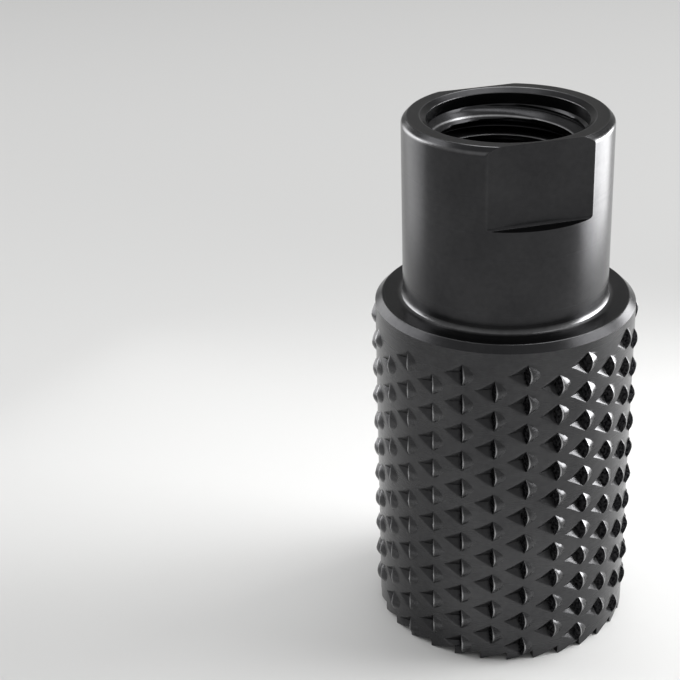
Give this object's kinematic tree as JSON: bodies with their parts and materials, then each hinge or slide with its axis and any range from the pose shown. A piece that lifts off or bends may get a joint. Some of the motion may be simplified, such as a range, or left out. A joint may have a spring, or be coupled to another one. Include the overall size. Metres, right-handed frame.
{
  "type": "rotary rasp",
  "caption": "Cup-shaped rotary rasp: a hollow steel cylinder with raised barbs all round, a ratchet-toothed open rim and a threaded hub with wrench flats.",
  "frame": {"origin": "centre of the open rim, in the plane of the rim teeth's tips", "axes": "+Z along the turning axis towards the threaded hub; the wrench flats face -Y and +Y"},
  "size_m": [0.0276, 0.0276, 0.0557],
  "materials": {
    "steel": "satin"
  },
  "bodies": {
    "root": {"rasp_body": "steel"}
  },
  "joints": []
}
